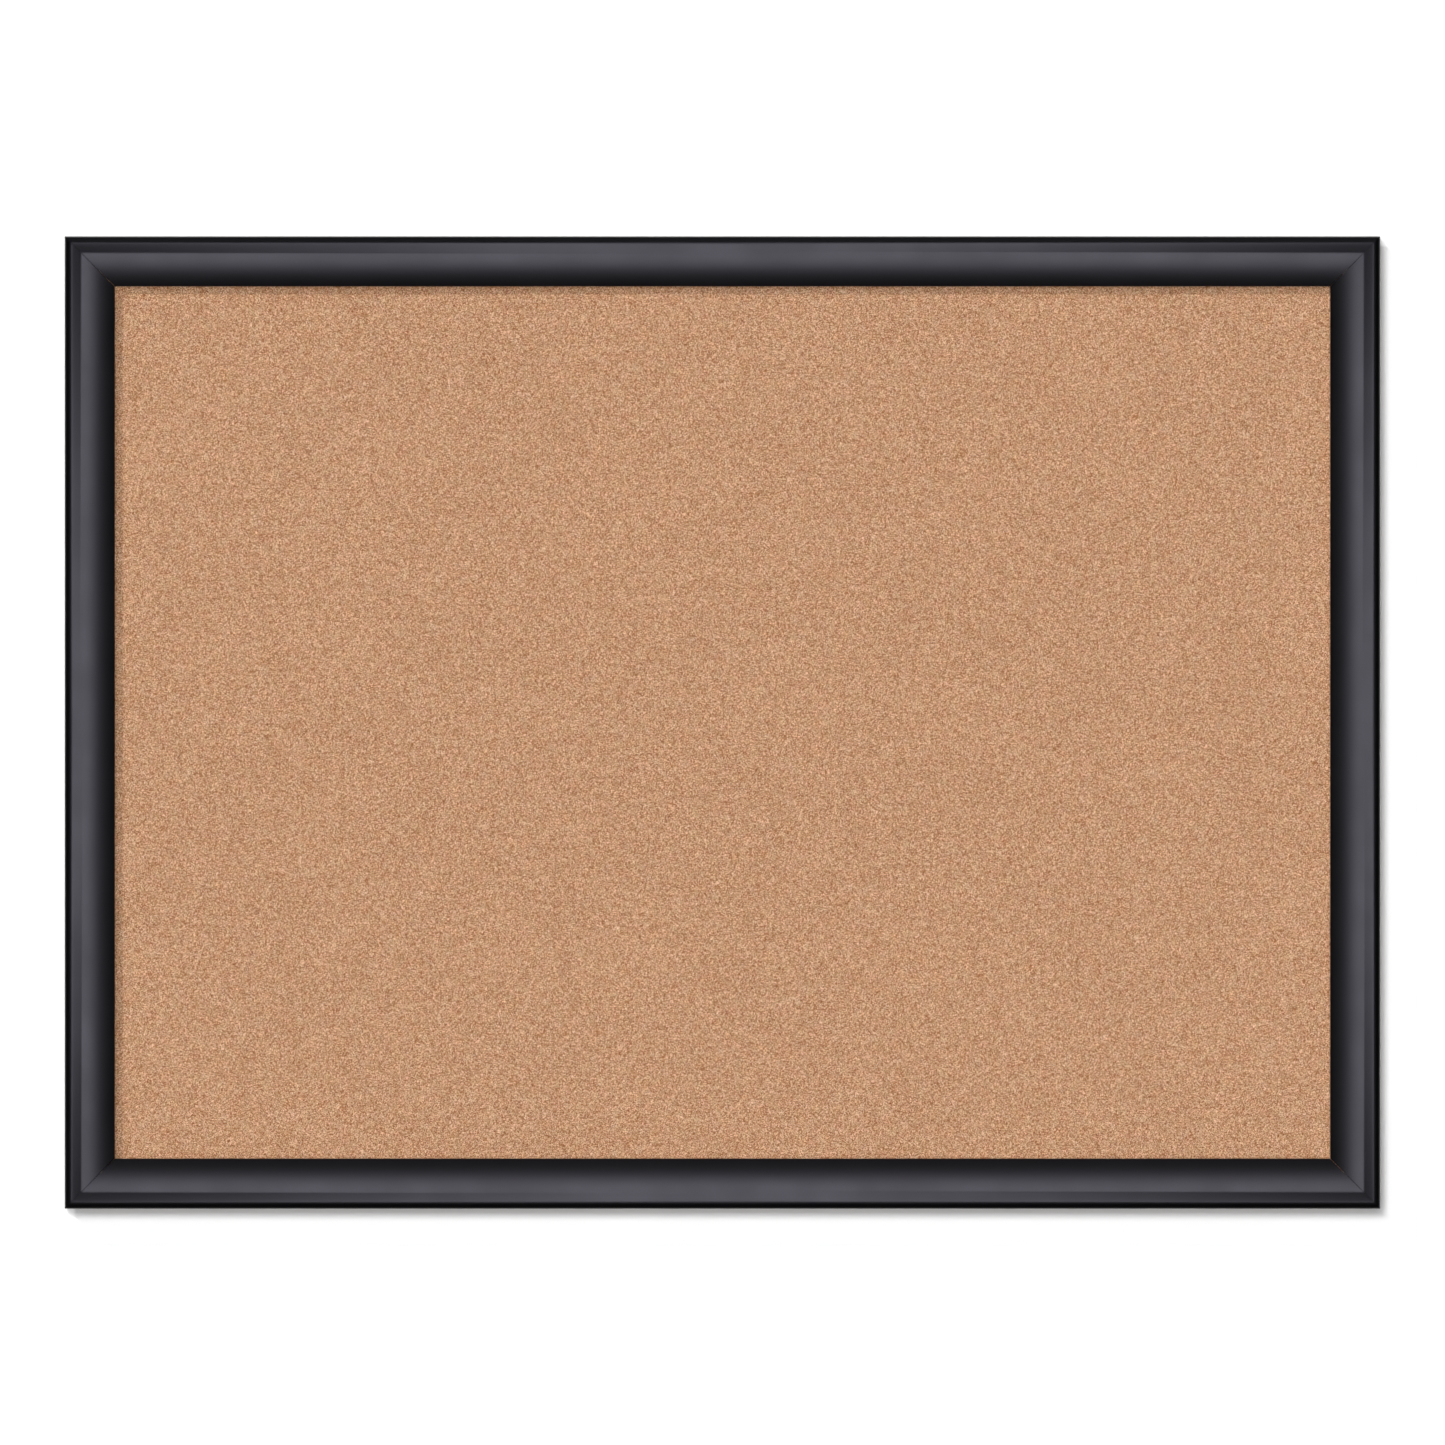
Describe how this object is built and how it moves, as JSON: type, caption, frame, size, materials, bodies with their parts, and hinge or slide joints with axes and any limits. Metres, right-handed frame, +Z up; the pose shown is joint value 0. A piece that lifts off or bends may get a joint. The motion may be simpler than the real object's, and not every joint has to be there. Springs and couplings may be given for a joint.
{
  "type": "cork bulletin board",
  "caption": "Framed cork bulletin board: mitred black moulding round a cork sheet on fibreboard, with ring hangers and rubber bumpers behind.",
  "frame": {"origin": "middle of the board on the wall plane, the plane of the four bumpers' ends", "axes": "+X to the right and +Z up as someone facing the board sees them, +Y into the wall, so the cork faces -Y"},
  "size_m": [0.5842, 0.0223, 0.4318],
  "materials": {
    "black_lacquer": "satin",
    "cork": "matte",
    "fibreboard": "matte",
    "kraft_paper": "matte",
    "bright_steel": "satin",
    "nickel_plate": "polished",
    "black_rubber": "matte"
  },
  "bodies": {
    "board": {"rail_top": "black_lacquer", "rail_bottom": "black_lacquer", "rail_left": "black_lacquer", "rail_right": "black_lacquer", "cork_sheet": "cork", "fibreboard_core": "fibreboard", "backing_paper": "kraft_paper", "corner_nail_top_left_outer": "bright_steel", "corner_nail_top_left_inner": "bright_steel", "corner_nail_top_right_outer": "bright_steel", "corner_nail_top_right_inner": "bright_steel", "corner_nail_bottom_left_outer": "bright_steel", "corner_nail_bottom_left_inner": "bright_steel", "corner_nail_bottom_right_outer": "bright_steel", "corner_nail_bottom_right_inner": "bright_steel", "retaining_point_top_1": "bright_steel", "retaining_point_top_2": "bright_steel", "retaining_point_top_3": "bright_steel", "retaining_point_bottom_1": "bright_steel", "retaining_point_bottom_2": "bright_steel", "retaining_point_bottom_3": "bright_steel", "retaining_point_left_1": "bright_steel", "retaining_point_left_2": "bright_steel", "retaining_point_right_1": "bright_steel", "retaining_point_right_2": "bright_steel", "hanger_strap_left": "nickel_plate", "hanger_screw_left": "bright_steel", "hanger_strap_right": "nickel_plate", "hanger_screw_right": "bright_steel", "bumper_top_left": "black_rubber", "bumper_top_right": "black_rubber", "bumper_bottom_left": "black_rubber", "bumper_bottom_right": "black_rubber"},
    "ring_left": {"hanger_ring_left": "nickel_plate"},
    "ring_right": {"hanger_ring_right": "nickel_plate"}
  },
  "joints": [
    {"name": "ring_left_swing", "type": "hinge", "parent": "board", "child": "ring_left", "pos_m": [-0.2842, -0.0021, 0.1299], "axis": [-1, 0, 0], "range_deg": [0, 181]},
    {"name": "ring_right_swing", "type": "hinge", "parent": "board", "child": "ring_right", "pos_m": [0.2842, -0.0021, 0.1299], "axis": [-1, 0, 0], "range_deg": [0, 181]}
  ]
}
